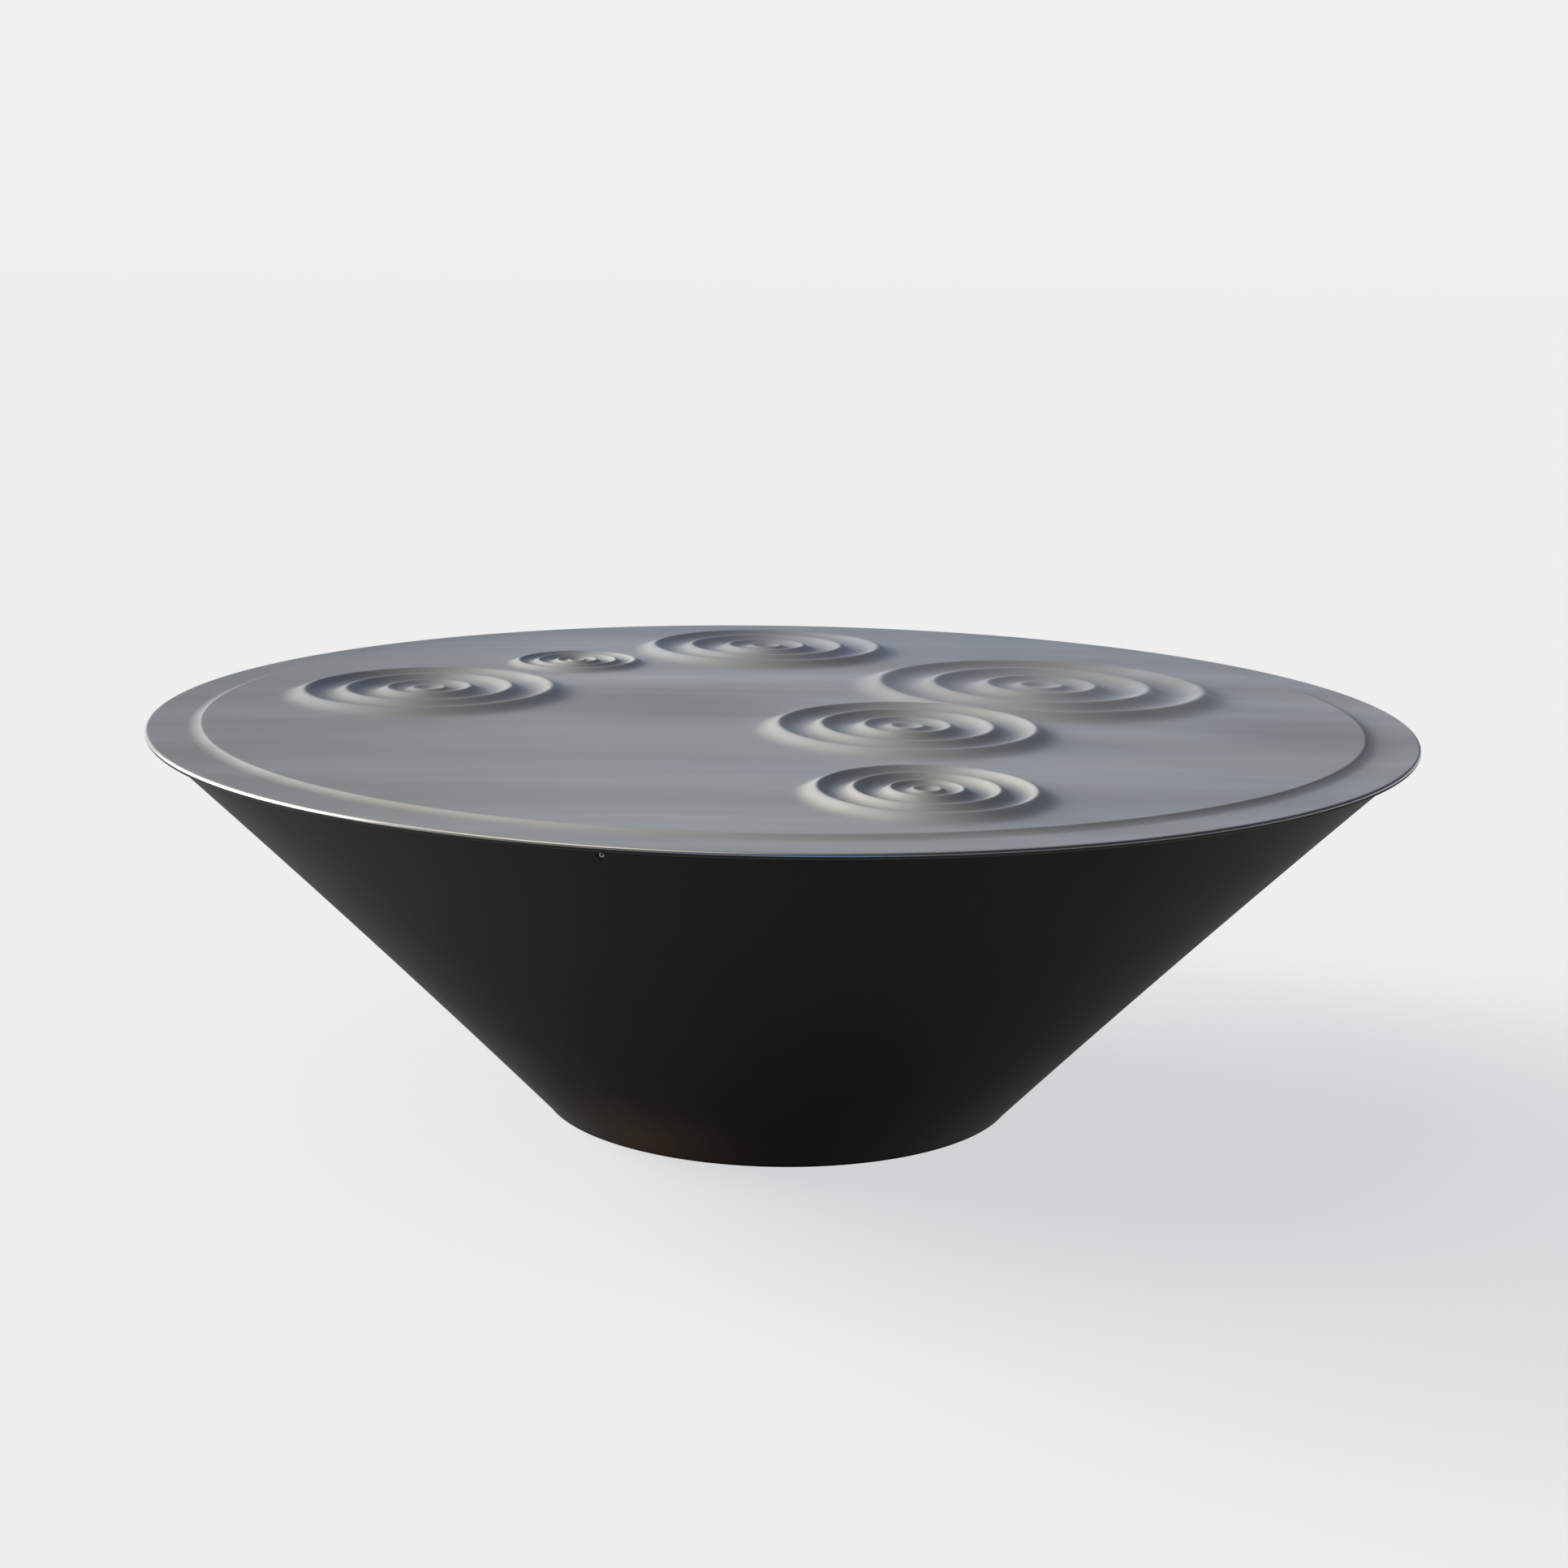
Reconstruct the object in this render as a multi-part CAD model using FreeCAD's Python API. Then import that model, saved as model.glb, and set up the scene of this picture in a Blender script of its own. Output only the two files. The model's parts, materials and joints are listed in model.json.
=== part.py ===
"""Free-standing gong: an embossed stainless playing plate locked into the mouth of a conical steel body.

Millimetres. +Z is up, and the origin is the centre of the foot, on the ground. -Y is the front.
Each function below makes one sub-part, and the last lines write one STEP file for each.
"""

import FreeCAD
import Part

import math
import os
from FreeCAD import Rotation, Vector

UP = Vector(0, 0, 1)
ORIGIN = Vector(0, 0, 0)

# ---- clearances and precision ----
merge_tolerance = 0.001  # for joining and cutting the plate's nearly flat faces
weld_gap = 0.3  # between two curved faces that a weld closes
thread_gap = 0.05  # between a screw and its thread, all round

# ---- body: a steel cone with slightly hollow flanks ----
foot_radius = 248.0  # outside of the cone at its foot
body_height = 403.5  # top of the cone's mouth above the ground
body_wall = 3.0
flank_hollow = 2.5  # how far the flank dips inside a straight cone
flank_bands = 3  # true cones that the hollow flank is made of
foot_lift = 1.0  # the cone's lower edge clears the ground by this much
lip_bevel = 1.2  # of the cone's upper outer edge
foot_bevel = 1.5  # of the cone's lower outer edge

# ---- gong plate: one sheet, crowned, with a border step and a hemmed edge ----
rim_radius = 650.0  # outermost point of the hem
rim_overhang = 11.0  # how far the hem stands out past the cone's mouth
sheet = 2.0
hem_bend = 3.0  # outer radius of the fold at the edge
hem_bands = 4  # true cones that the fold is made of
hem_return = 15.0  # straight part of the hem, folded back under the border
border_width = 44.5  # from the outermost point of the hem to the foot of the step
step_run = 11.0
step_height = 4.0
crown = 5.5  # rise of the plate from the step to its middle

# ---- tone fields: (x, y, radius, height of the ripple crests above the plate) ----
tone_fields = {
    "left": (-377.0, 50.0, 152.0, 7.6),
    "small": (-237.0, 266.0, 77.0, 5.0),
    "back": (-22.0, 388.0, 154.0, 7.6),
    "large": (280.0, 122.0, 204.0, 7.6),
    "middle": (123.0, -144.0, 149.0, 7.6),
    "front": (128.0, -441.0, 114.0, 7.6),
}
ripple_rings = 3  # raised rings round the central dome of each field
valley_height = 1.2  # of the grooves between the rings, above the plate

# ---- mouth ring, gasket and locating ring, where the plate is seated ----
mouth_ring_width = 27.0  # from its inner edge to the outside of the cone's mouth
mouth_ring_thickness = 8.0
gasket_lip = 1.5  # rubber left showing between hem and cone
gasket_inset = 1.0  # the gasket's outer edge stays this far inside the cone's mouth
locating_gap = 1.2  # between the locating ring and the mouth ring
locating_thickness = 3.0
locating_depth = 16.0  # how far the locating ring reaches below the mouth

# ---- lock screws, threaded through the mouth ring, with nylon tips ----
screw_count = 3
first_screw_angle = -103.4  # degrees from +X: just left of the front
screw_radius = 2.5
screw_length = 20.0
screw_depth = 3.8  # its axis below the cone's mouth
socket_width = 2.5  # across the flats of the hexagonal socket
socket_depth = 3.0
tip_radius = 1.9
tip_length = 2.0
screw_window = 2.8  # radius of the hole in the cone in front of a screw

# ---- foot: base plate, ground pad and gussets ----
pad_thickness = 4.0
pad_margin = 20.0  # from the pad's edge to the outside of the cone's foot
base_thickness = 8.0
bolt_circle_radius = 190.0
bolt_hole_radius = 7.0
bolt_count = 4
drain_radius = 20.0
gusset_count = 8
gusset_thickness = 6.0
gusset_reach = 105.0  # along the base plate, from the cone inwards
gusset_height = 78.0
gusset_nose = 12.0  # width of its upper end and height of its inner end

# ---- heights and radii that follow ----
foot_top = pad_thickness + base_thickness
hem_bottom = body_height + gasket_lip
border_top = hem_bottom + 2 * hem_bend
step_foot_radius = rim_radius - border_width
step_radius = step_foot_radius - step_run
step_top = border_top + step_height
crown_radius = (step_radius**2 + crown**2) / (2 * crown)  # of the ball that the plate's face is part of
crown_centre = Vector(0, 0, step_top + crown - crown_radius)
mouth_radius = rim_radius - rim_overhang
mouth_ring_inner = mouth_radius - mouth_ring_width
mouth_ring_bottom = body_height - mouth_ring_thickness
hem_bend_radius = rim_radius - hem_bend  # where the fold starts
hem_lip_radius = hem_bend_radius - hem_return
locating_outer = mouth_ring_inner - locating_gap
screw_height = body_height - screw_depth
bolt_angle = 180.0 / gusset_count  # the bolts stand midway between two gussets
flank_slope = math.atan2(mouth_radius - foot_radius, body_height - foot_lift)


def at(radius, height):
    """A point of a half section."""
    return Vector(radius, 0, height)


def turned(points):
    """The solid of a half section with straight sides, turned about Z."""
    return Part.Face(Part.makePolygon(points + points[:1])).revolve(ORIGIN, UP, 360)


def around(shape, angle):
    """A copy turned about Z by an angle in degrees."""
    copy = shape.copy()
    copy.rotate(ORIGIN, UP, angle)
    return copy


def rod(radius, start, end, height):
    """A round rod along +X at a height, from one distance to another."""
    return Part.makeCylinder(radius, end - start, Vector(start, 0, height), Vector(1, 0, 0))


def wall_outside(height):
    """The cone's outer radius at a height: a straight taper with a shallow parabola taken off."""
    share = (height - foot_lift) / (body_height - foot_lift)
    straight = foot_radius + share * (mouth_radius - foot_radius)
    return straight - 4 * share * (1 - share) * flank_hollow / math.cos(flank_slope)


def wall_inside(height):
    """The cone's inner radius at a height."""
    return wall_outside(height) - body_wall / math.cos(flank_slope)


def heights_between(low, high):
    """The heights of the joints between the bands of the flank, and of its two ends."""
    return [low + (high - low) * k / flank_bands for k in range(flank_bands + 1)]


def make_body_shell():
    """The cone: a rolled sheet, open at the mouth and the foot, with a window for each lock screw."""
    outside = [at(wall_outside(h), h) for h in heights_between(foot_lift + foot_bevel, body_height - lip_bevel)]
    inside = [at(wall_inside(h), h) for h in heights_between(foot_lift, body_height)]
    lip = at(mouth_radius - lip_bevel, body_height)
    foot = at(foot_radius - foot_bevel, foot_lift)
    window = rod(screw_window, mouth_ring_inner, rim_radius, screw_height)
    shell = turned([foot] + outside + [lip] + inside[::-1])
    return shell.cut([around(window, a) for a in screw_angles()])


def screw_angles():
    return [first_screw_angle + 360.0 * k / screw_count for k in range(screw_count)]


def make_mouth_ring():
    """A flat ring welded inside the cone's mouth, with a tapped hole for each lock screw."""
    ring = turned(
        [
            at(mouth_ring_inner, mouth_ring_bottom),
            at(wall_inside(mouth_ring_bottom) - weld_gap, mouth_ring_bottom),
            at(wall_inside(body_height) - weld_gap, body_height),
            at(mouth_ring_inner, body_height),
        ]
    )
    hole = rod(screw_radius + thread_gap, locating_outer, rim_radius, screw_height)
    return ring.cut([around(hole, a) for a in screw_angles()])


def make_edge_gasket():
    """A moulded rubber ring with an L section: a pad under the border and a lip under the hem."""
    inner = mouth_ring_inner
    shoulder = hem_lip_radius - weld_gap
    outer = mouth_radius - gasket_inset
    return turned(
        [
            at(inner, body_height),
            at(outer, body_height),
            at(outer, hem_bottom),
            at(shoulder, hem_bottom),
            at(shoulder, border_top - sheet),
            at(inner, border_top - sheet),
        ]
    )


def make_locating_ring():
    """A hoop welded under the plate's border, which drops inside the mouth ring."""
    outer = locating_outer
    inner = outer - locating_thickness
    top = border_top - sheet
    bottom = body_height - locating_depth
    return turned([at(inner, bottom), at(outer, bottom), at(outer, top), at(inner, top)])


def plate_height(radius):
    """The height of the crowned plate's upper face, before the tone fields are pressed in."""
    return crown_centre.z + math.sqrt(crown_radius**2 - radius**2)


def under_crown(solid, drop):
    """What of a solid lies under the plate's crowned upper face, once that is lowered by a drop."""
    ball = Part.makeSphere(crown_radius, crown_centre - UP * drop, Vector(1, 0, 0))
    return solid.common(ball)


def step_outline(drop):
    """The border step's foot, and the end of its slope drawn on to above the crown, lowered by a drop."""
    crest = at(step_radius, step_top - drop)
    foot = at(step_foot_radius, border_top - drop)
    above_crown = foot + (crest - foot) * (step_height + 2 * crown) / step_height
    return above_crown, foot


def make_upper_form():
    """The plate with no hollow under it: crown, border step, flat border and hemmed edge."""
    top, foot = step_outline(0)
    bend_height = border_top - hem_bend
    fold = []
    for k in range(hem_bands + 1):
        turn = math.pi * (0.5 - k / hem_bands)
        fold.append(at(hem_bend_radius + hem_bend * math.cos(turn), bend_height + hem_bend * math.sin(turn)))
    folded_sheet = [
        at(hem_lip_radius, hem_bottom),
        at(hem_lip_radius, hem_bottom + sheet),
        at(rim_radius - sheet, hem_bottom + sheet),
        at(rim_radius - sheet, border_top - sheet),
    ]
    outline = [at(0, top.z), top, foot] + fold + folded_sheet + [at(0, border_top - sheet)]
    return under_crown(turned(outline), 0)


def make_lower_form():
    """The hollow under the plate, one sheet below its upper face."""
    top, foot = step_outline(sheet)
    below = foot - UP * sheet
    outline = [at(0, top.z), top, foot, below, at(0, below.z)]
    return under_crown(turned(outline), sheet)


def ripple_solid(radius, height, lowered):
    """The space under a tone field's ripples about Z, lowered and cut off level inside the plate or below it.

    The section is a zigzag from the crest in the middle to the foot, bent down as the crown is.
    """
    steps = 2 * ripple_rings + 1
    outline = []
    for k in range(steps + 1):
        r = radius * k / steps
        ripple = 0 if k == steps else (height, valley_height)[k % 2]
        outline.append(at(r, ripple - r**2 / (2 * crown_radius) - lowered))
    crest, foot = outline[-2:]
    half_sheet = sheet / 2
    end = foot + (foot - crest) * half_sheet / height
    return turned(outline + [end, at(0, end.z)])


def on_plate(solid, x, y):
    """A solid made about Z at the origin, set square on the crowned plate at a place."""
    spot = Vector(x, y, plate_height(math.hypot(x, y)))
    copy = solid.copy()
    copy.Placement = FreeCAD.Placement(spot, Rotation(UP, spot - crown_centre))
    return copy


def make_gong_plate():
    """The playing plate: the ripples are raised on its upper form, and its lower form follows them."""
    raised = [on_plate(ripple_solid(radius, high, 0), x, y) for x, y, radius, high in tone_fields.values()]
    hollow = [on_plate(ripple_solid(radius, high, sheet), x, y) for x, y, radius, high in tone_fields.values()]
    hollow.append(make_lower_form())
    return make_upper_form().multiFuse(raised, merge_tolerance).cut(hollow, merge_tolerance)


def make_lock_screw(angle):
    """A headless screw with a hexagonal socket, pointing inwards."""
    inner = locating_outer + tip_length
    outer = inner + screw_length
    screw = rod(screw_radius, inner, outer, screw_height)
    corner = socket_width / math.sqrt(3)
    hexagon = [
        Vector(outer, corner * math.sin(k * math.pi / 3), screw_height + corner * math.cos(k * math.pi / 3))
        for k in range(6)
    ]
    socket = Part.Face(Part.makePolygon(hexagon + hexagon[:1])).extrude(Vector(-socket_depth, 0, 0))
    return around(screw.cut(socket), angle)


def make_screw_tip(angle):
    """The nylon plug between a lock screw and the locating ring."""
    return around(rod(tip_radius, locating_outer, locating_outer + tip_length, screw_height), angle)


def bolt_holes(height):
    """Four bolt holes and the drain hole, as rods through the foot."""
    holes = [Part.makeCylinder(drain_radius, height)]
    hole = Part.makeCylinder(bolt_hole_radius, height, Vector(bolt_circle_radius, 0, 0))
    for k in range(bolt_count):
        holes.append(around(hole, bolt_angle + 360.0 * k / bolt_count))
    return holes


def make_base_plate():
    """The floor of the body, welded inside the cone's foot."""
    plate = turned(
        [
            at(0, pad_thickness),
            at(wall_inside(pad_thickness) - weld_gap, pad_thickness),
            at(wall_inside(foot_top) - weld_gap, foot_top),
            at(0, foot_top),
        ]
    )
    return plate.cut(bolt_holes(foot_top + pad_thickness))


def make_ground_pad():
    """The rubber disc that the gong stands on, hidden inside the cone's foot."""
    pad = Part.makeCylinder(foot_radius - pad_margin, pad_thickness)
    return pad.cut(bolt_holes(pad_thickness))


def make_gusset(angle):
    """A rib between the base plate and the cone."""
    low = foot_top
    high = foot_top + gusset_height
    near_wall = wall_inside(low) - weld_gap
    upper_wall = wall_inside(high) - weld_gap
    tail = near_wall - gusset_reach
    outline = [
        at(tail, low),
        at(near_wall, low),
        at(upper_wall, high),
        at(upper_wall - gusset_nose, high),
        at(tail, low + gusset_nose),
    ]
    face = Part.Face(Part.makePolygon(outline + outline[:1]))
    face.translate(Vector(0, -gusset_thickness / 2, 0))
    rib = face.extrude(Vector(0, gusset_thickness, 0))
    return around(rib, angle)


parts = {
    "gong_plate": make_gong_plate(),
    "locating_ring": make_locating_ring(),
    "edge_gasket": make_edge_gasket(),
    "mouth_ring": make_mouth_ring(),
    "body_shell": make_body_shell(),
    "base_plate": make_base_plate(),
    "ground_pad": make_ground_pad(),
}
for number, turn in enumerate(screw_angles(), 1):
    parts[f"lock_screw_{number}"] = make_lock_screw(turn)
    parts[f"screw_tip_{number}"] = make_screw_tip(turn)
for number in range(1, gusset_count + 1):
    parts[f"gusset_{number}"] = make_gusset(360.0 * (number - 1) / gusset_count)

os.makedirs("parts", exist_ok=True)
for name, shape in parts.items():
    shape.exportStep(f"parts/{name}.step")
    print(f"{name:16s} {shape.Volume / 1000:10.2f} cm3  {len(shape.Solids)} solid  valid {shape.isValid()}")
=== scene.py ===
"""Looks of the free-standing gong: rippled stainless plate, rubber edge gasket and black coated steel body.

Lengths are in metres, in the frame of the solids: +Z is up, the origin is the centre of the foot, and -Y is
the front. Colours are linear red, green and blue.
"""

import json
import math

import bpy
import numpy as np
from mathutils import Matrix, Vector
from mathutils.geometry import delaunay_2d_cdt


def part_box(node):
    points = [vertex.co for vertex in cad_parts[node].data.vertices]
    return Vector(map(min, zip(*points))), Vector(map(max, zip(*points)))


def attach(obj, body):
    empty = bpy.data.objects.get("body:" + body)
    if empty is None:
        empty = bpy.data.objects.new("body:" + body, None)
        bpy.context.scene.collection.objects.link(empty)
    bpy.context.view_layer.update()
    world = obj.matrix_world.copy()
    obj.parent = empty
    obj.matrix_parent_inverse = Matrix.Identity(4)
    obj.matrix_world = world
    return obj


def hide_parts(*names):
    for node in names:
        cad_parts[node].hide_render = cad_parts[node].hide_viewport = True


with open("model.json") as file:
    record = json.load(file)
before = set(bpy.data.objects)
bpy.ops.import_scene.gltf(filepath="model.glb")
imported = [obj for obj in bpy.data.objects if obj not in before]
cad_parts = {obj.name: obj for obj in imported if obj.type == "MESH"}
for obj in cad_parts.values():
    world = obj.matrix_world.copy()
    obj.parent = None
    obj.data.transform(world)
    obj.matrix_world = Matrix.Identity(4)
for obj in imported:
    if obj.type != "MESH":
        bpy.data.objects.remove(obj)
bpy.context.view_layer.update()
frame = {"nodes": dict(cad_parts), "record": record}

MM = 0.001

# ---- sizes read from the solids ----
plate_low, plate_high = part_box("gong_plate")
shell_low, shell_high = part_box("body_shell")
rim_radius = min(plate_high.x, plate_high.y)
hem_bottom = plate_low.z
foot_lift = shell_low.z
body_height = shell_high.z
pad_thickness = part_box("ground_pad")[1].z

# ---- sizes of the plate, as its solid has them ----
sheet = 2 * MM
hem_bend = 3 * MM  # outer radius of the rolled edge
hem_return = 15 * MM  # how far the hem runs back under the border
border_width = 44.5 * MM
step_run = 11 * MM
step_height = 4 * MM
crown = 5.5 * MM  # how much higher the plate's middle is than the step
border_top = hem_bottom + 2 * hem_bend
step_foot_radius = rim_radius - border_width
step_radius = step_foot_radius - step_run
step_top = border_top + step_height
crown_radius = (step_radius**2 + crown**2) / (2 * crown)
crown_centre = step_top + crown - crown_radius

# ---- form of the border step ----
step_crest_rounding = 0.06  # share of the step's fall that is rounded at its crest
step_foot_rounding = 0.9  # the same at its foot
step_spread = 1.3  # how far that rounding carries the step, as a share of its run

# ---- tone fields: x, y, radius, height of the crests ----
tone_fields = (
    (-377 * MM, 50 * MM, 152 * MM, 7.6 * MM),
    (-237 * MM, 266 * MM, 77 * MM, 5.0 * MM),
    (-22 * MM, 388 * MM, 154 * MM, 7.6 * MM),
    (280 * MM, 122 * MM, 204 * MM, 7.6 * MM),
    (123 * MM, -144 * MM, 149 * MM, 7.6 * MM),
    (128 * MM, -441 * MM, 114 * MM, 7.6 * MM),
)
ripple_rings = 3
valley_height = 1.2 * MM
crest_rounding = 0.1  # share of a slope that is rounded at its crest
groove_rounding = 0.65  # the same at its groove, and where a field runs out into the plate
foot_spread = 5 * MM  # how far the rounding carries a field past its radius
dimple_pitch = 0.38  # radius of the crest round a field's central dimple, in ring pitches
dimple_groove = 0.66  # radius of the groove round that crest, in ring pitches
dimple_crest = 0.88  # height of that crest, as a share of the rings'
dimple_edge = 0.5  # height of that groove, as a share of the rings'
dimple_floor = 0.5  # height of the dimple's bottom, as a share of the rings'

# ---- sizes of the body, as its solid has them ----
foot_radius = 248 * MM
rim_overhang = 11 * MM  # how far the hem stands out past the body's mouth
mouth_radius = rim_radius - rim_overhang
body_wall = 3 * MM
flank_hollow = 2.5 * MM  # how far the flank dips inside a straight cone
lip_round = 1.2 * MM
foot_round = 1.5 * MM
flank_slope = math.atan2(mouth_radius - foot_radius, body_height - foot_lift)
lip_lead = 20  # degrees by which the lip's arc starts past the flank's own direction
foot_end = -20  # degrees, where the foot's arc meets the flank

# ---- rubber edge and foot ----
gasket_inner = mouth_radius - 27 * MM
gasket_shoulder = rim_radius - 18.2 * MM  # just inside the hem's inner edge
gasket_outer = mouth_radius - 1 * MM
pad_radius = foot_radius - 20 * MM
drain_radius = 20 * MM
bolt_count = 4
first_bolt_angle = 22.5  # degrees from +X
bolt_circle_radius = 190 * MM
bolt_hole_radius = 7 * MM
rubber_rounding = 0.5 * MM

# ---- windows for the lock screws ----
screw_count = 3
first_screw_angle = -103.4  # degrees from +X
screw_height = body_height - 3.8 * MM
window_radius = 2.8 * MM

# ---- fineness of the meshes ----
rim_segments = 576
body_segments = 720
upper_mesh = {"spacing": 4 * MM, "steps": 10}  # along the ripples, and circles to each of their slopes
under_mesh = {"spacing": 10 * MM, "steps": 3}
open_spacing = 10 * MM  # where the plate has no ripples
fewest_points = 12  # on a circle of the ripples
merge_gap = 0.001 * MM
crest_gathering = 1.5  # how strongly the circles gather towards the crests
crest_strips = (0, 0.5 * MM, 2 * MM)  # how far inside the step's crest the plate's first circles are
edge_strip = 0.5 * MM  # a narrow band beside a rounded edge, which keeps the wide face next to it shaded flat
step_rows, under_step_rows = 16, 6  # down the border step, on its upper side and underneath
hem_rows, hem_inner_rows = 12, 4  # round the hem's outside, and round its lip and its inside
flank_rows = 40
inside_every = 4  # the body's inside has every fourth of those rows
round_rows = 8  # of the body's lip and foot
corner_rows = 5  # of a rubber edge
cutter_sides = 48
cutter_length = 40 * MM

# ---- finishes ----
noise_range = (0.3, 0.7)  # which most of a noise pattern's values lie in

# ---- satin stainless ----
streak_colours = ((0.56, 0.59, 0.64), (0.63, 0.67, 0.73))
band_colour = (0.515, 0.53, 0.55)
# painted shade: colours the plate is painted towards, darker and bluer, at its left and at its back
steel_left_painted_shade = (0, 0.03, 0.1)
steel_back_painted_shade = (0, 0.1, 0.3)
# painted shade: patches where the plate is painted darker, standing in for dark reflections
patch_shade_colour = (0, 0, 0)
painted_shade_patches = (  # middle, reach, how much darker
    ((-115 * MM, 0), 220 * MM, 0.24),
    ((336 * MM, -30 * MM), 90 * MM, 0.2),
    ((530 * MM, -110 * MM), 170 * MM, 0.2),
)
steel_roughness = (0.69, 0.74)
burnished_roughness = 0.3
burnish_end = (border_top - 1 * MM, border_top - 0.1 * MM)  # where the hem's burnish ends, from below
# painted shade: below the hem's bend the plate is painted dark, matt and not metallic, for the dark ground it
# reflects
hem_shade_colour = (0.012, 0.012, 0.011)
hem_shade_roughness = 0.9
hem_shade_end = (hem_bottom + 3 * MM, hem_bottom + 3.8 * MM)  # where the hem's painted shade ends, from below

# ---- black coat ----
bloom_colours = ((0.0085, 0.0088, 0.0078), (0.011, 0.0113, 0.0102))
# painted reflection: colours the coat is painted towards, lighter and more olive, at its left and its right
coat_left_painted_reflection = (0.023, 0.0228, 0.0175)
coat_right_painted_reflection = (0.023, 0.0218, 0.0175)
# painted shade: the colour the coat is painted towards at its foot
coat_foot_painted_shade = (0.0006, 0.0006, 0.0006)
coat_roughness = (0.44, 0.52)
coat_specular = 0.02
# painted reflection: a warm smudge painted low on the body's front left
warm_glow_colour = (0.03, 0.015, 0.005)
warm_glow_place = (-115 * MM, -225 * MM, 10 * MM)
warm_glow_reach = 130 * MM

# ---- rubber, screw steel and nylon ----
rubber_colours = ((0.012, 0.012, 0.012), (0.022, 0.022, 0.021))
rubber_roughness = 0.8
screw_colour = (0.22, 0.22, 0.21)
screw_roughness = (0.2, 0.34)
nylon_colours = ((0.7, 0.68, 0.6), (0.78, 0.76, 0.7))
nylon_roughness = 0.45

# ---- floor and world ----
pale = 0.863  # the photograph's background
floor_colour = (pale, 1.03 * pale, 1.1 * pale)  # bluish, because the lamps are warm
floor_roughness = 0.9
floor_own_colour = (0.985, 0.99, 1)
floor_own_share = 0.65
floor_reach = 60
world_horizon = (pale, pale, pale)
world_back = (0.05, 0.31, 0.9)
world_left = (0.08, 0.07, 0.06)
world_right = (0.06, 0.062, 0.062)
world_top = (0.03, 0.03, 0.03)
left_to_back = (-0.4, 0.21)  # X of the direction, while the world's colour goes from one to the other
back_to_right = (0.11, 0.385)
sides_to_top = (0.38, 0.8)  # Z of the direction
horizon_to_dome = (0.092, 0.105)

# ---- camera ----
camera_place = (1.7 * MM, -2730 * MM, 892.3 * MM)
camera_pitch = 0.2012  # radians below level
camera_roll = 0.0161  # radians
camera_sensor = 36
camera_lens = 60.84


# ---------------------------------------------------------------- shapes


def ramp(t, start, end):
    """0 to 1 as t goes from 0 to 1: straight, with a parabola over a share of its start and of its end."""
    slope = 1 / (1 - start / 2 - end / 2)
    t = np.clip(t, 0, 1)
    straight = slope * (t - start / 2)
    straight = np.where(t < start, slope * t**2 / (2 * start), straight)
    return np.where(t > 1 - end, 1 - slope * (1 - t) ** 2 / (2 * end), straight)


def field_profile(radius, height):
    """A tone field's turning points from its middle out: distance, height, rounded share of the slope."""
    pitch = radius / (ripple_rings + 0.5)
    profile = [
        (0, dimple_floor * height, groove_rounding),
        (dimple_pitch * pitch, dimple_crest * height, crest_rounding),
        (dimple_groove * pitch, dimple_edge * height, groove_rounding),
    ]
    for ring in range(1, ripple_rings + 1):
        profile.append((ring * pitch, height, crest_rounding))
        profile.append(((ring + 0.5) * pitch, valley_height, groove_rounding))
    profile[-1] = (radius + foot_spread, 0, groove_rounding)
    return profile


def field_height(distance, profile):
    """Height of one tone field above the plate at a distance from its middle."""
    height = np.zeros_like(distance)
    for (start, low, start_round), (end, high, end_round) in zip(profile, profile[1:]):
        share = (distance - start) / (end - start)
        slope = low + (high - low) * ramp(share, start_round, end_round)
        height = np.where((share >= 0) & (share < 1), slope, height)
    return height


def ripples_at(x, y):
    """Height of the tone fields above the plate. Each rises square to the crown at its own middle."""
    ripples = np.zeros_like(x)
    for field_x, field_y, radius, height in tone_fields:
        tilt = math.sqrt(1 - (field_x**2 + field_y**2) / crown_radius**2)
        distance = np.hypot(x - field_x, y - field_y)
        ripples = np.maximum(ripples, tilt * field_height(distance, field_profile(radius, height)))
    return ripples


def plate_height(x, y):
    """Height of the plate's upper face inside the border step."""
    return crown_centre + np.sqrt(crown_radius**2 - x**2 - y**2) + ripples_at(x, y)


def circle_points(x, y, radius, count):
    """Points on a circle in plan, anticlockwise."""
    turns = np.arange(count) * (2 * math.pi / count)
    return np.column_stack([x + radius * np.cos(turns), y + radius * np.sin(turns)])


def field_circles(profile, steps):
    """Radii of circles round a field's middle, closest together at its crests."""
    radii = []
    for (start, low, _), (end, high, _) in zip(profile, profile[1:]):
        shares = np.arange(steps) / steps
        if high > low:
            shares = 1 - (1 - shares) ** crest_gathering
        else:
            shares = shares**crest_gathering
        radii += list(start + (end - start) * shares)
    return radii[1:] + [profile[-1][0]]


def plate_face(spacing, steps):
    """Points and triangles of the plate inside the border step, in plan, and the points at the step's crest.

    Circles round each field's middle keep the triangles' edges along its crests.
    """
    circles = [(0, 0, step_radius - inset, rim_segments) for inset in crest_strips]
    for x, y, radius, height in tone_fields:
        for r in field_circles(field_profile(radius, height), steps):
            circles.append((x, y, r, max(fewest_points, round(2 * math.pi * r / spacing))))
    points, edges, first = [], [], 0
    for x, y, r, count in circles:
        points.append(circle_points(x, y, r, count))
        edges += [(first + k, first + (k + 1) % count) for k in range(count)]
        first += count
    points.append(np.array([(x, y) for x, y, _, _ in tone_fields]))
    points.append(open_points())
    plan = [Vector(p) for p in np.vstack(points)]
    points, _, triangles, origins, _, _ = delaunay_2d_cdt(plan, edges, [], 0, merge_gap)
    place_of = {origin: place for place, group in enumerate(origins) for origin in group}
    crest = [place_of[k] for k in range(rim_segments)]
    return np.array(points), triangles, crest


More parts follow.
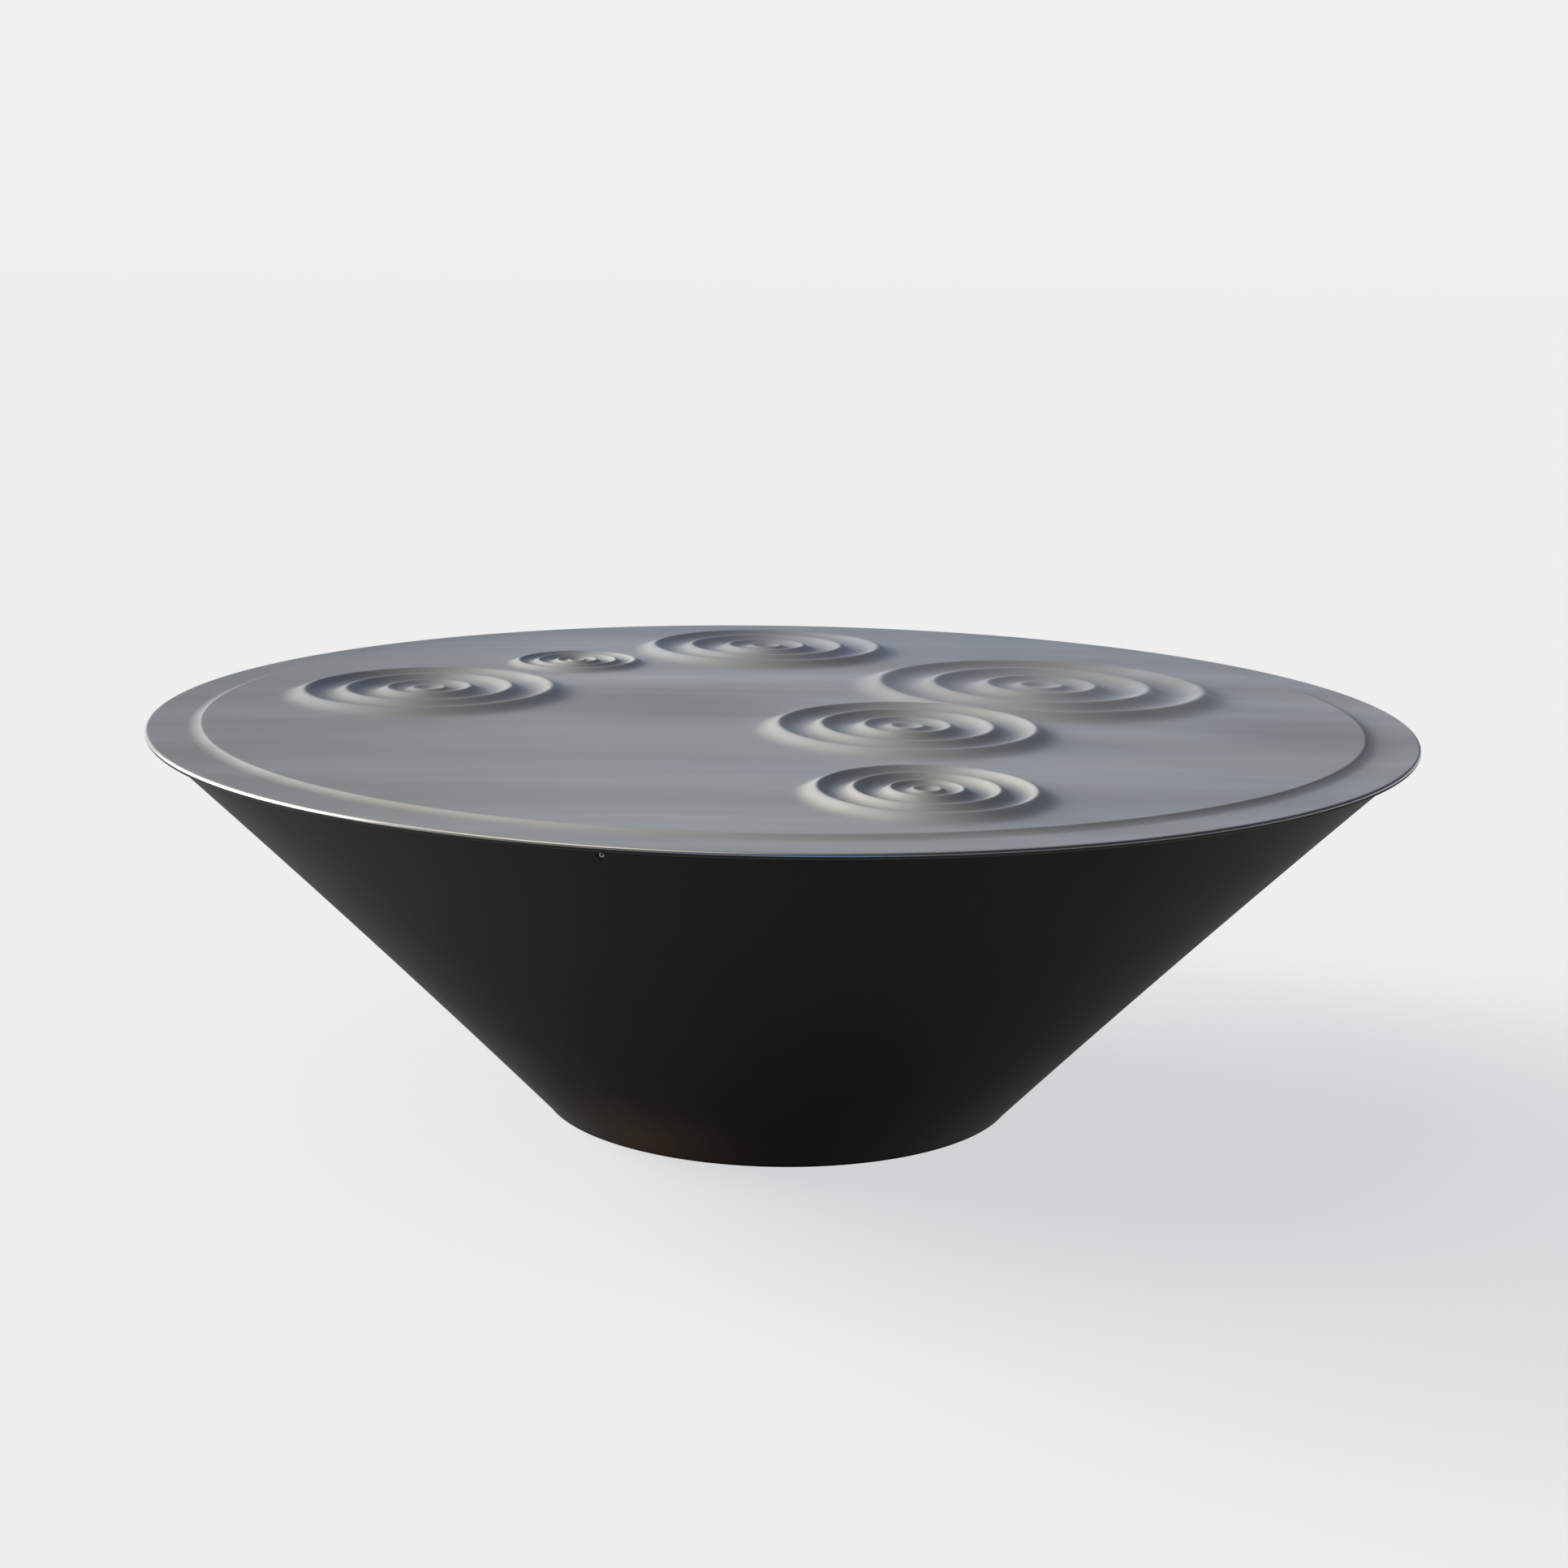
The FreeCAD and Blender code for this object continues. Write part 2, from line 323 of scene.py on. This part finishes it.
def open_points():
    """Points in plan, evenly spread where the plate has no ripples."""
    rows = np.arange(-step_radius, step_radius, open_spacing)
    x, y = (axis.ravel() for axis in np.meshgrid(rows, rows))
    x = x + 0.5 * open_spacing * (np.round(y / open_spacing) % 2)
    clear = np.hypot(x, y) < step_radius - open_spacing
    for field_x, field_y, radius, _ in tone_fields:
        clear &= np.hypot(x - field_x, y - field_y) > radius + foot_spread + 0.5 * open_spacing
    return np.column_stack([x, y])[clear]


def arc_points(centre_r, centre_z, radius, start, end, steps):
    """Points of a section on an arc between two angles in degrees."""
    angles = [math.radians(start + (end - start) * k / steps) for k in range(steps + 1)]
    return [(centre_r + radius * math.cos(a), centre_z + radius * math.sin(a)) for a in angles]


def step_points(drop, steps):
    """Points of the border step from its crest to its foot."""
    shares = np.linspace(0, 1, steps + 1)
    fall = step_height * ramp(shares, step_crest_rounding, step_foot_rounding)
    return [(step_radius + step_spread * step_run * t, step_top - drop - f) for t, f in zip(shares, fall)]


def border_section():
    """The plate's border, from just below the step's crest, round the hem, to the same place underneath."""
    bend_r = rim_radius - hem_bend
    bend_z = border_top - hem_bend
    lip_r = bend_r - hem_return
    half = sheet / 2
    section = step_points(0, step_rows)[1:] + [(bend_r - edge_strip, border_top)]
    section += arc_points(bend_r, bend_z, hem_bend, 90, -90, hem_rows)
    section += arc_points(lip_r, hem_bottom + half, half, -90, -270, hem_inner_rows)
    section += arc_points(bend_r, bend_z, hem_bend - sheet, -90, 90, hem_inner_rows)
    section += step_points(sheet, under_step_rows)[:0:-1]
    return section


def ring_points(section, segments):
    """Points of the rings that a section's (radius, height) points make round the axis, ring by ring."""
    return [np.column_stack([circle_points(0, 0, r, segments), np.full(segments, z)]) for r, z in section]


def ring_numbers(first, count, segments):
    """Numbers of the points of such rings, ring by ring."""
    return [list(range(first + k * segments, first + (k + 1) * segments)) for k in range(count)]


def band(inner, outer):
    """Faces between two rings of as many points."""
    pairs = list(zip(inner, inner[1:] + inner[:1], outer, outer[1:] + outer[:1]))
    return [(a, c, d, b) for a, b, c, d in pairs]


def smooth_mesh(name, points, faces):
    """A smooth shaded mesh of groups of points."""
    mesh = bpy.data.meshes.new(name)
    mesh.from_pydata(np.vstack(points).tolist(), [], faces)
    mesh.shade_smooth()
    return mesh


def plate_mesh():
    """The whole plate: its upper face, its border and hem, and its underside."""
    upper, faces, crest = plate_face(**upper_mesh)
    under, under_faces, under_crest = plate_face(**under_mesh)
    top = np.column_stack([upper, plate_height(*upper.T)])
    bottom = np.column_stack([under, plate_height(*under.T) - sheet])
    section = border_section()
    first_under = len(top) + len(section) * rim_segments
    rings = [crest]
    rings += ring_numbers(len(top), len(section), rim_segments)
    rings.append([first_under + k for k in under_crest])
    for inner, outer in zip(rings, rings[1:]):
        faces += band(inner, outer)
    faces += [[first_under + k for k in face[::-1]] for face in under_faces]
    return smooth_mesh("playing_plate", [top, *ring_points(section, rim_segments), bottom], faces)


def turned_mesh(name, section):
    """A smooth ring with a closed section of (radius, height) points, listed clockwise as seen with +Z up."""
    rings = ring_numbers(0, len(section), body_segments)
    faces = []
    for inner, outer in zip(rings, rings[1:] + rings[:1]):
        faces += band(inner, outer)
    return smooth_mesh(name, ring_points(section, body_segments), faces)


def add_piece(name, mesh):
    """Puts a mesh in the scene as an object."""
    piece = bpy.data.objects.new(name, mesh)
    bpy.context.scene.collection.objects.link(piece)
    return piece


# ---------------------------------------------------------------- materials


class Tree:
    """A node tree, with the kinds of node that the finishes and the world are made of."""

    def __init__(self, owner):
        owner.use_nodes = True
        self.nodes = owner.node_tree.nodes
        self.links = owner.node_tree.links

    def feed(self, socket, value):
        """Gives an input a plain value or a node's output."""
        if isinstance(value, bpy.types.NodeSocket):
            self.links.new(value, socket)
        elif socket.type == "RGBA":
            socket.default_value = (*value, 1)
        else:
            socket.default_value = value

    def maths(self, kind, first, second):
        """One sum on two numbers."""
        node = self.nodes.new("ShaderNodeMath")
        node.operation = kind
        self.feed(node.inputs[0], first)
        self.feed(node.inputs[1], second)
        return node.outputs["Value"]

    def mapped(self, kind, value, start, end, at_start, at_end):
        """Goes from one number to another while a value goes from start to end."""
        limits = self.nodes.new("ShaderNodeMapRange")
        limits.interpolation_type = kind
        self.feed(limits.inputs["From Min"], start)
        self.feed(limits.inputs["From Max"], end)
        self.feed(limits.inputs["To Min"], at_start)
        self.feed(limits.inputs["To Max"], at_end)
        self.feed(limits.inputs["Value"], value)
        return limits.outputs["Result"]

    def smooth(self, value, start, end, at_start=0, at_end=1):
        """Goes smoothly from one number to another while a value goes from start to end."""
        return self.mapped("SMOOTHSTEP", value, start, end, at_start, at_end)

    def spread(self, pattern, low=0, high=1):
        """A noise pattern, stretched from low to high."""
        return self.mapped("LINEAR", pattern, *noise_range, low, high)

    def mixed(self, kind, first, second, share):
        """Something between two plain values or nodes' outputs: all of the first where the share is 0."""
        mix = self.nodes.new("ShaderNodeMix")
        mix.data_type = kind
        for name, end in (("A", first), ("B", second)):
            self.feed(next(i for i in mix.inputs if i.name == name and i.enabled), end)
        self.feed(mix.inputs["Factor"], share)
        return next(o for o in mix.outputs if o.enabled)

    def mix_colours(self, first, second, share):
        """A colour between two, by a share."""
        return self.mixed("RGBA", first, second, share)

    def mix_numbers(self, first, second, share):
        """A number between two, by a share."""
        return self.mixed("FLOAT", first, second, share)


class Finish(Tree):
    """A material's node tree, with its shader and the place in the object."""

    def __init__(self, name):
        self.material = bpy.data.materials.new(name)
        super().__init__(self.material)
        self.shader = self.nodes["Principled BSDF"]
        self.place = self.nodes.new("ShaderNodeTexCoord").outputs["Object"]

    def set(self, name, value):
        """Gives one of the shader's inputs a plain value or a node's output."""
        self.feed(self.shader.inputs[name], value)

    def noise(self, scale, detail, stretch=(1, 1, 1)):
        """A noise pattern, with its scale in features per metre, times the stretch along X, Y and Z."""
        mapping = self.nodes.new("ShaderNodeMapping")
        self.feed(mapping.inputs["Vector"], self.place)
        self.feed(mapping.inputs["Scale"], [scale * s for s in stretch])
        pattern = self.nodes.new("ShaderNodeTexNoise")
        self.feed(pattern.inputs["Vector"], mapping.outputs["Vector"])
        self.feed(pattern.inputs["Scale"], 1)
        self.feed(pattern.inputs["Detail"], detail)
        return pattern.outputs["Fac"]

    def along(self, axis, start, end, at_start=0, at_end=1):
        """A number that changes smoothly between two places along an axis."""
        axes = self.nodes.new("ShaderNodeSeparateXYZ")
        self.feed(axes.inputs["Vector"], self.place)
        return self.smooth(axes.outputs[axis], start, end, at_start, at_end)

    def around(self, middle, reach, strength=1):
        """A number that is greatest at a point and falls smoothly to 0 at its reach."""
        gap = self.nodes.new("ShaderNodeVectorMath")
        gap.operation = "DISTANCE"
        self.feed(gap.inputs[0], self.place)
        self.feed(gap.inputs[1], middle)
        return self.smooth(gap.outputs["Value"], 0, reach, strength, 0)

    def bump(self, pattern, depth):
        """Adds relief to the relief so far."""
        node = self.nodes.new("ShaderNodeBump")
        self.feed(node.inputs["Distance"], depth)
        self.feed(node.inputs["Height"], pattern)
        normal = self.shader.inputs["Normal"]
        if normal.is_linked:
            self.feed(node.inputs["Normal"], normal.links[0].from_socket)
        self.feed(normal, node.outputs["Normal"])


def satin_stainless():
    """Rolled stainless sheet: faint streaks, wide bands and a fine grain along X, with hand-sized clouds.

    Painted shade makes it darker and bluer towards its left and its back, and darker in a few patches, where
    it stands in for dark reflections. The hem is burnished round its bend; below the bend, painted shade
    makes it dark, matt and not metallic, standing in for the dark ground that the hem reflects.
    """
    finish = Finish("satin_stainless")
    clouds = finish.noise(scale=5, detail=3, stretch=(0.6, 1.6, 1))
    streaks = finish.noise(scale=30, detail=4, stretch=(0.08, 1.3, 1))
    bands = finish.noise(scale=7, detail=2, stretch=(0.25, 1.4, 1))
    grain = finish.noise(scale=900, detail=2, stretch=(0.02, 1, 1))

    colour = finish.mix_colours(*streak_colours, finish.spread(streaks))
    colour = finish.mix_colours(band_colour, colour, finish.spread(bands))
    # painted shade: the plate is painted darker and bluer towards its left
    painted_left = finish.along("X", start=-0.6, end=-0.15, at_start=0.3, at_end=0)
    colour = finish.mix_colours(colour, steel_left_painted_shade, painted_left)
    # painted shade: a few patches painted darker
    for middle, reach, strength in painted_shade_patches:
        colour = finish.mix_colours(colour, patch_shade_colour, finish.around((*middle, step_top), reach, strength))
    # painted shade: the plate is painted darker and bluer towards its back
    painted_back = finish.along("Y", start=0.15, end=0.6, at_start=0, at_end=0.2)
    colour = finish.mix_colours(colour, steel_back_painted_shade, painted_back)

    burnished = finish.along("Z", *burnish_end, at_start=1, at_end=0)
    # painted shade: the hem's lower half is painted dark, matt and not metallic
    hem_shade_mask = finish.along("Z", *hem_shade_end, at_start=1, at_end=0)
    roughness = finish.mix_numbers(finish.spread(clouds, *steel_roughness), burnished_roughness, burnished)
    finish.set("Base Color", finish.mix_colours(colour, hem_shade_colour, hem_shade_mask))
    finish.set("Roughness", finish.mix_numbers(roughness, hem_shade_roughness, hem_shade_mask))
    finish.set("Metallic", finish.mix_numbers(1, 0, hem_shade_mask))
    finish.bump(clouds, depth=0.9 * MM)
    finish.bump(streaks, depth=0.05 * MM)
    finish.bump(grain, depth=0.003 * MM)
    return finish.material


def black_coat():
    """Satin black powder coat with a fine orange peel and a cloudy dry bloom.

    Painted reflections make it lighter and more olive towards both sides, painted shade makes it black at the
    foot, and a painted warm reflection lies there as a smudge.
    """
    finish = Finish("black_coat")
    clouds = finish.noise(scale=4, detail=4)
    peel = finish.noise(scale=500, detail=2)

    bloom = finish.mix_colours(*bloom_colours, finish.spread(clouds))
    # painted reflection: the coat is painted lighter and more olive towards its left and its right
    painted_left = finish.along("X", start=-0.5, end=0.1, at_start=1, at_end=0)
    bloom = finish.mix_colours(bloom, coat_left_painted_reflection, painted_left)
    painted_right = finish.along("X", start=0.27, end=0.52)
    bloom = finish.mix_colours(bloom, coat_right_painted_reflection, painted_right)
    # painted shade: the coat is painted darker towards the foot, down to black there
    colour = finish.mix_colours(coat_foot_painted_shade, bloom, finish.along("Z", start=0, end=body_height))
    # painted reflection: a warm smudge painted low on the front left
    colour = finish.mix_colours(colour, warm_glow_colour, finish.around(warm_glow_place, warm_glow_reach))

    finish.set("Base Color", colour)
    finish.set("Roughness", finish.spread(clouds, *coat_roughness))
    finish.set("Specular IOR Level", coat_specular)
    finish.bump(peel, depth=0.03 * MM)
    return finish.material


def moulded_rubber():
    """Matt black rubber with a faint grey bloom and moulding grain."""
    finish = Finish("moulded_rubber")
    bloom = finish.noise(scale=60, detail=4)
    grain = finish.noise(scale=1500, detail=2)
    finish.set("Base Color", finish.mix_colours(*rubber_colours, finish.spread(bloom)))
    finish.set("Roughness", rubber_roughness)
    finish.bump(grain, depth=0.05 * MM)
    return finish.material


def bright_steel():
    """Machined screw steel with fine turning marks."""
    finish = Finish("bright_steel")
    marks = finish.noise(scale=3000, detail=2)
    finish.set("Base Color", screw_colour)
    finish.set("Metallic", 1)
    finish.set("Roughness", finish.spread(marks, *screw_roughness))
    finish.bump(marks, depth=0.01 * MM)
    return finish.material


def natural_nylon():
    """Milky nylon."""
    finish = Finish("natural_nylon")
    haze = finish.noise(scale=800, detail=2)
    finish.set("Base Color", finish.mix_colours(*nylon_colours, finish.spread(haze)))
    finish.set("Roughness", nylon_roughness)
    return finish.material


# ---------------------------------------------------------------- pieces


def wall_outside(height):
    """The body's outer radius at a height."""
    share = (height - foot_lift) / (body_height - foot_lift)
    straight = foot_radius + share * (mouth_radius - foot_radius)
    return straight - 4 * share * (1 - share) * flank_hollow / math.cos(flank_slope)


def body_section():
    """The body's section: up its outside, over the rounded lip, down its inside and round the foot."""
    low, high = foot_lift + foot_round, body_height - lip_round
    heights = [low, *np.linspace(low + edge_strip, high - edge_strip, flank_rows), high]
    outside = [(wall_outside(z), z) for z in heights]
    lip_start = lip_lead - math.degrees(flank_slope)
    lip = arc_points(wall_outside(high) - lip_round, high, lip_round, lip_start, 90, round_rows)
    across = body_wall / math.cos(flank_slope)
    inside_heights = (body_height, *heights[-2:0:-inside_every], foot_lift)
    inside = [(wall_outside(z) - across, z) for z in inside_heights]
    foot = arc_points(wall_outside(low) - foot_round, low, foot_round, -90, foot_end, round_rows)
    outline = outside + lip[1:] + inside + foot[:-1]
    return outline[::-1]


def make_playing_plate(steel):
    """The plate, with its ripples, border step and hem."""
    plate = add_piece("playing_plate", plate_mesh())
    finish_piece(plate, steel)
    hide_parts("gong_plate")


def make_body_cone(coat):
    """The tapered body with its three screw windows."""
    cone = add_piece("body_cone", turned_mesh("body_cone", body_section()))
    first = Matrix.Translation((mouth_radius, 0, screw_height)) @ Matrix.Rotation(math.pi / 2, 4, "Y")
    cut_rods(cone, window_radius, around_axis(first, first_screw_angle, screw_count))
    finish_piece(cone, coat)
    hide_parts("body_shell")


def rounded_section(corners, radius):
    """A closed section's corners, each turned into a short curve."""
    section = []
    corners = [Vector(c) for c in corners]
    for before, here, after in zip(corners[-1:] + corners[:-1], corners, corners[1:] + corners[:1]):
        start = here + (before - here).normalized() * radius
        end = here + (after - here).normalized() * radius
        for k in range(corner_rows + 1):
            t = k / corner_rows
            section.append(tuple((1 - t) ** 2 * start + 2 * t * (1 - t) * here + t**2 * end))
    return section


def make_edge_gasket(rubber):
    """The moulded ring under the plate's border, with rounded edges and a lip under the hem."""
    shoulder_top = border_top - sheet
    corners = [
        (gasket_inner, body_height),
        (gasket_inner, shoulder_top),
        (gasket_shoulder, shoulder_top),
        (gasket_shoulder, hem_bottom),
        (gasket_outer, hem_bottom),
        (gasket_outer, body_height),
    ]
    gasket = add_piece("rubber_edge", turned_mesh("rubber_edge", rounded_section(corners, rubber_rounding)))
    finish_piece(gasket, rubber)
    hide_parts("edge_gasket")


def make_foot_pad(rubber):
    """The disc under the foot, with rounded edges and its drain and bolt holes."""
    corners = [(drain_radius, 0), (drain_radius, pad_thickness), (pad_radius, pad_thickness), (pad_radius, 0)]
    pad = add_piece("rubber_foot", turned_mesh("rubber_foot", rounded_section(corners, rubber_rounding)))
    first = Matrix.Translation((bolt_circle_radius, 0, 0))
    cut_rods(pad, bolt_hole_radius, around_axis(first, first_bolt_angle, bolt_count))
    finish_piece(pad, rubber)
    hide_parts("ground_pad")


def around_axis(place, first_angle, count):
    """A place on the +X side, turned to a count of evenly spread angles, the first of them in degrees."""
    angles = [math.radians(first_angle + 360 / count * k) for k in range(count)]
    return [Matrix.Rotation(angle, 4, "Z") @ place for angle in angles]


def cut_rods(piece, radius, places):
    """Cuts a round hole through a piece at each place."""
    rods = []
    for place in places:
        rod = cutting_rod(f"{piece.name}_cutter_{len(rods)}", radius)
        rod.matrix_world = place
        cut = piece.modifiers.new("hole", "BOOLEAN")
        cut.object = rod
        cut.solver = "MANIFOLD"
        rods.append(rod)
    apply_modifiers(piece)
    for rod in rods:
        bpy.data.objects.remove(rod)


def cutting_rod(name, radius):
    """A closed round rod along Z about the origin."""
    ends = [(radius, -cutter_length / 2), (radius, cutter_length / 2)]
    lower, upper = ring_numbers(0, len(ends), cutter_sides)
    faces = band(upper, lower) + [lower[::-1], upper]
    mesh = bpy.data.meshes.new(name)
    mesh.from_pydata(np.vstack(ring_points(ends, cutter_sides)).tolist(), [], faces)
    return add_piece(name, mesh)


def apply_modifiers(piece):
    """Puts the modifiers' result in the mesh."""
    graph = bpy.context.evaluated_depsgraph_get()
    mesh = bpy.data.meshes.new_from_object(piece.evaluated_get(graph))
    piece.modifiers.clear()
    piece.data = mesh


def finish_piece(piece, material):
    """Gives a piece its material, and ties it to the body."""
    piece.data.materials.clear()
    piece.data.materials.append(material)
    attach(piece, "root")


def dress_solids(finishes):
    """Gives each solid the finish of its slot."""
    slots = {s["node"]: s["material_slot"] for s in frame["record"]["subparts"]}
    for name, node in frame["nodes"].items():
        node.data.materials.clear()
        node.data.materials.append(finishes[slots[name]])


# ---------------------------------------------------------------- stage, light and camera


def make_floor():
    """A plain pale floor out to the horizon.

    Where the camera sees it, or metal or glass shows it, a share of its brightness is its own. That keeps the
    shadow on it light.
    """
    finish = Finish("pale_floor")
    finish.set("Base Color", floor_colour)
    finish.set("Roughness", floor_roughness)
    finish.set("Specular IOR Level", 0)
    path = finish.nodes.new("ShaderNodeLightPath")
    seen = path.outputs["Is Camera Ray"]
    for ray in ("Is Glossy Ray", "Is Transmission Ray"):
        seen = finish.maths("MAXIMUM", seen, path.outputs[ray])
    own = finish.nodes.new("ShaderNodeEmission")
    finish.feed(own.inputs["Color"], floor_own_colour)
    both = finish.nodes.new("ShaderNodeMixShader")
    finish.feed(both.inputs["Fac"], finish.maths("MULTIPLY", seen, floor_own_share))
    finish.feed(both.inputs[1], finish.shader.outputs["BSDF"])
    finish.feed(both.inputs[2], own.outputs["Emission"])
    finish.feed(finish.nodes["Material Output"].inputs["Surface"], both.outputs["Shader"])

    corners = [(x * floor_reach, y * floor_reach, 0) for x, y in ((-1, -1), (1, -1), (1, 1), (-1, 1))]
    mesh = bpy.data.meshes.new("floor")
    mesh.from_pydata(corners, [], [(0, 1, 2, 3)])
    mesh.materials.append(finish.material)
    add_piece("floor", mesh)


def soft_sun(name, turn, height, spread, strength, colour):
    """A wide lamp far away. Its angles are in degrees, and its turn goes from the front towards the right."""
    lamp = bpy.data.lights.new(name, "SUN")
    lamp.energy = strength
    lamp.angle = math.radians(spread)
    lamp.color = colour
    holder = bpy.data.objects.new(name, lamp)
    turn, height = math.radians(turn), math.radians(height)
    level = math.cos(height)
    towards = Vector((math.sin(turn) * level, -math.cos(turn) * level, math.sin(height)))
    holder.rotation_euler = towards.to_track_quat("Z", "Y").to_euler()
    bpy.context.scene.collection.objects.link(holder)


def make_world():
    """Pale at the horizon. The dome above it is blue behind the gong, and dim at its left, right and top."""
    world = bpy.data.worlds.new("studio")
    bpy.context.scene.world = world
    tree = Tree(world)
    axes = tree.nodes.new("ShaderNodeSeparateXYZ")
    tree.feed(axes.inputs["Vector"], tree.nodes.new("ShaderNodeTexCoord").outputs["Generated"])
    across, up = axes.outputs["X"], axes.outputs["Z"]

    sides = tree.mix_colours(world_left, world_back, tree.smooth(across, *left_to_back))
    sides = tree.mix_colours(sides, world_right, tree.smooth(across, *back_to_right))
    dome = tree.mix_colours(sides, world_top, tree.smooth(up, *sides_to_top))
    whole = tree.mix_colours(world_horizon, dome, tree.smooth(up, *horizon_to_dome))
    tree.feed(tree.nodes["Background"].inputs["Color"], whole)


def make_camera():
    """The photograph's viewpoint: a little over the rim, looking slightly down, with a slight roll."""
    ahead = Vector((0, math.cos(camera_pitch), -math.sin(camera_pitch)))
    upright = Vector((0, math.sin(camera_pitch), math.cos(camera_pitch)))
    level = Vector((1, 0, 0))
    right = level * math.cos(camera_roll) + upright * math.sin(camera_roll)
    above = upright * math.cos(camera_roll) - level * math.sin(camera_roll)
    camera = bpy.data.objects.new("camera", bpy.data.cameras.new("camera"))
    camera.data.sensor_width = camera_sensor
    camera.data.lens = camera_lens
    turned = Matrix((right, above, -ahead)).transposed().to_4x4()
    camera.matrix_world = Matrix.Translation(Vector(camera_place)) @ turned
    bpy.context.scene.collection.objects.link(camera)
    bpy.context.scene.camera = camera


# ---------------------------------------------------------------- the scene

finishes = {
    "gong_steel": satin_stainless(),
    "black_coat": black_coat(),
    "rubber": moulded_rubber(),
    "screw_steel": bright_steel(),
    "nylon": natural_nylon(),
}
dress_solids(finishes)
make_playing_plate(finishes["gong_steel"])
make_body_cone(finishes["black_coat"])
make_edge_gasket(finishes["rubber"])
make_foot_pad(finishes["rubber"])

make_floor()
make_world()
soft_sun("left_key", turn=-110, height=19.1, spread=40, strength=4.85, colour=(1, 0.94, 0.81))
soft_sun("overhead", turn=-70, height=65.6, spread=40, strength=0.6, colour=(1, 0.9, 0.7))
make_camera()
bpy.context.scene.view_settings.view_transform = "Standard"
